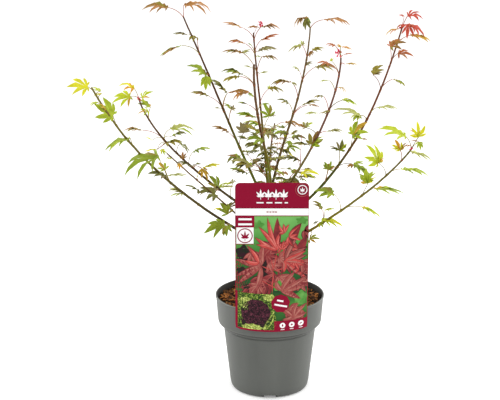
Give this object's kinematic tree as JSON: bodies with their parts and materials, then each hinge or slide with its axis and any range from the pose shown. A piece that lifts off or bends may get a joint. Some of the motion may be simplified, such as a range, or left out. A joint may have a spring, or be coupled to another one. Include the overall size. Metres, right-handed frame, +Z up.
{
  "type": "potted japanese maple",
  "caption": "Young open-branched japanese maple with narrow palmate leaves, in a round collared nursery pot with a plain picture label over the rim.",
  "frame": {"origin": "middle of the pot's flat underside, on the surface that the pot stands on", "axes": "+Z up along the pot's axis, -Y towards the face of the label card, +X to the right when looking at the card"},
  "size_m": [0.602, 0.4087, 0.6772],
  "materials": {
    "pot_plastic": "recycled taupe-grey moulded plastic, satin",
    "potting_mix": "moist dark bark compost with orange-brown chips",
    "label_print": "printed plastic card, semi-gloss",
    "trunk_bark": "young grey-brown bark with a graft swelling",
    "limb_bark": "smooth purplish-brown young wood with pale leaf nodes",
    "leaf_green": "matte olive-green leaf",
    "leaf_lime": "soft lime to yellow-green young leaf",
    "leaf_bronze": "bronze-orange young leaf",
    "leaf_crimson": "crimson shoot-tip leaf"
  },
  "bodies": {
    "root": {"pot": "pot_plastic", "potting_mix": "potting_mix", "label_card": "label_print", "trunk": "trunk_bark", "limb_far_left": "limb_bark", "limb_left": "limb_bark", "limb_thin_left": "limb_bark", "limb_top_left": "limb_bark", "limb_cut_leader": "limb_bark", "limb_middle": "limb_bark", "limb_right_middle": "limb_bark", "limb_right": "limb_bark", "limb_top_right": "limb_bark", "limb_far_right": "limb_bark", "limb_back": "limb_bark", "leaves_far_left_1": "leaf_green", "leaves_far_left_2": "leaf_green", "leaves_far_left_3": "leaf_lime", "leaves_left_1": "leaf_green", "leaves_left_2": "leaf_green", "leaves_left_3": "leaf_lime", "leaves_thin_left_1": "leaf_green", "leaves_thin_left_2": "leaf_lime", "leaves_top_left_1": "leaf_green", "leaves_top_left_2": "leaf_green", "leaves_top_left_3": "leaf_bronze", "leaves_cut_leader_1": "leaf_green", "leaves_cut_leader_2": "leaf_bronze", "leaves_middle_1": "leaf_green", "leaves_middle_2": "leaf_green", "leaves_middle_3": "leaf_bronze", "leaves_right_middle_1": "leaf_green", "leaves_right_middle_2": "leaf_green", "leaves_right_middle_3": "leaf_bronze", "leaves_right_1": "leaf_green", "leaves_right_2": "leaf_green", "leaves_right_3": "leaf_bronze", "leaves_top_right_1": "leaf_green", "leaves_top_right_2": "leaf_green", "leaves_top_right_3": "leaf_bronze", "leaves_top_right_4": "leaf_crimson", "leaves_far_right_1": "leaf_lime", "leaves_far_right_2": "leaf_lime", "leaves_far_right_3": "leaf_lime", "leaves_back_1": "leaf_green", "leaves_back_2": "leaf_green"}
  },
  "joints": []
}
